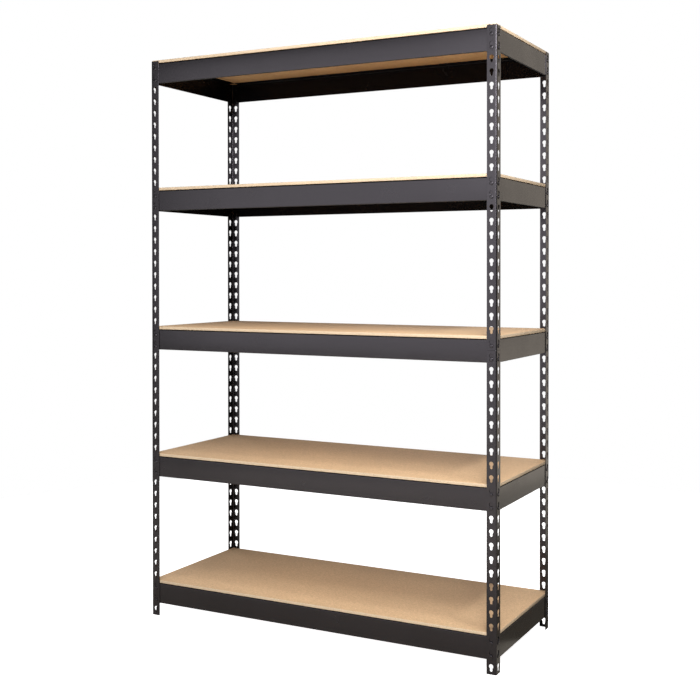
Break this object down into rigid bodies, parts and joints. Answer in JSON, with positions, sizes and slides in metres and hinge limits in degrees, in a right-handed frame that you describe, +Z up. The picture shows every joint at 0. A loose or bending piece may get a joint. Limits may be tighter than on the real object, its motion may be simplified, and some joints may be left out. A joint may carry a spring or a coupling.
{
  "type": "boltless steel shelving",
  "caption": "Freestanding boltless shelving: slotted steel angle posts, rivet-hooked beams folded from sheet, and particle board shelves.",
  "frame": {"origin": "on the floor, at the middle of the footprint", "axes": "+X along the long beams, to the right seen from the front; -Y is the front; +Z up"},
  "size_m": [1.2242, 0.4622, 1.8314],
  "materials": {
    "post_paint": "semi-gloss charcoal powder coat",
    "beam_paint": "semi-gloss charcoal powder coat",
    "particle_board": "raw sanded particle board"
  },
  "bodies": {
    "posts": {"post_front_left_lower": "post_paint", "post_front_left_upper": "post_paint", "post_front_right_lower": "post_paint", "post_front_right_upper": "post_paint", "post_back_right_lower": "post_paint", "post_back_right_upper": "post_paint", "post_back_left_lower": "post_paint", "post_back_left_upper": "post_paint"},
    "shelf_1_frame": {"shelf_1_beam_front": "beam_paint", "shelf_1_beam_right": "beam_paint", "shelf_1_beam_back": "beam_paint", "shelf_1_beam_left": "beam_paint"},
    "shelf_1_deck": {"shelf_1_board": "particle_board"},
    "shelf_2_frame": {"shelf_2_beam_front": "beam_paint", "shelf_2_beam_right": "beam_paint", "shelf_2_beam_back": "beam_paint", "shelf_2_beam_left": "beam_paint"},
    "shelf_2_deck": {"shelf_2_board": "particle_board"},
    "shelf_3_frame": {"shelf_3_beam_front": "beam_paint", "shelf_3_beam_right": "beam_paint", "shelf_3_beam_back": "beam_paint", "shelf_3_beam_left": "beam_paint"},
    "shelf_3_deck": {"shelf_3_board": "particle_board"},
    "shelf_4_frame": {"shelf_4_beam_front": "beam_paint", "shelf_4_beam_right": "beam_paint", "shelf_4_beam_back": "beam_paint", "shelf_4_beam_left": "beam_paint"},
    "shelf_4_deck": {"shelf_4_board": "particle_board"},
    "shelf_5_frame": {"shelf_5_beam_front": "beam_paint", "shelf_5_beam_right": "beam_paint", "shelf_5_beam_back": "beam_paint", "shelf_5_beam_left": "beam_paint"},
    "shelf_5_deck": {"shelf_5_board": "particle_board"}
  },
  "joints": [
    {"name": "shelf_1_unhook", "type": "slide", "parent": "posts", "child": "shelf_1_frame", "axis": [0, 0, 1], "range_m": [0, 0.011]},
    {"name": "shelf_1_board_lift", "type": "slide", "parent": "shelf_1_frame", "child": "shelf_1_deck", "axis": [0, 0, 1], "range_m": [0, 0.15]},
    {"name": "shelf_2_unhook", "type": "slide", "parent": "posts", "child": "shelf_2_frame", "axis": [0, 0, 1], "range_m": [0, 0.011]},
    {"name": "shelf_2_board_lift", "type": "slide", "parent": "shelf_2_frame", "child": "shelf_2_deck", "axis": [0, 0, 1], "range_m": [0, 0.15]},
    {"name": "shelf_3_unhook", "type": "slide", "parent": "posts", "child": "shelf_3_frame", "axis": [0, 0, 1], "range_m": [0, 0.011]},
    {"name": "shelf_3_board_lift", "type": "slide", "parent": "shelf_3_frame", "child": "shelf_3_deck", "axis": [0, 0, 1], "range_m": [0, 0.15]},
    {"name": "shelf_4_unhook", "type": "slide", "parent": "posts", "child": "shelf_4_frame", "axis": [0, 0, 1], "range_m": [0, 0.011]},
    {"name": "shelf_4_board_lift", "type": "slide", "parent": "shelf_4_frame", "child": "shelf_4_deck", "axis": [0, 0, 1], "range_m": [0, 0.15]},
    {"name": "shelf_5_unhook", "type": "slide", "parent": "posts", "child": "shelf_5_frame", "axis": [0, 0, 1], "range_m": [0, 0.011]},
    {"name": "shelf_5_board_lift", "type": "slide", "parent": "shelf_5_frame", "child": "shelf_5_deck", "axis": [0, 0, 1], "range_m": [0, 0.15]}
  ]
}
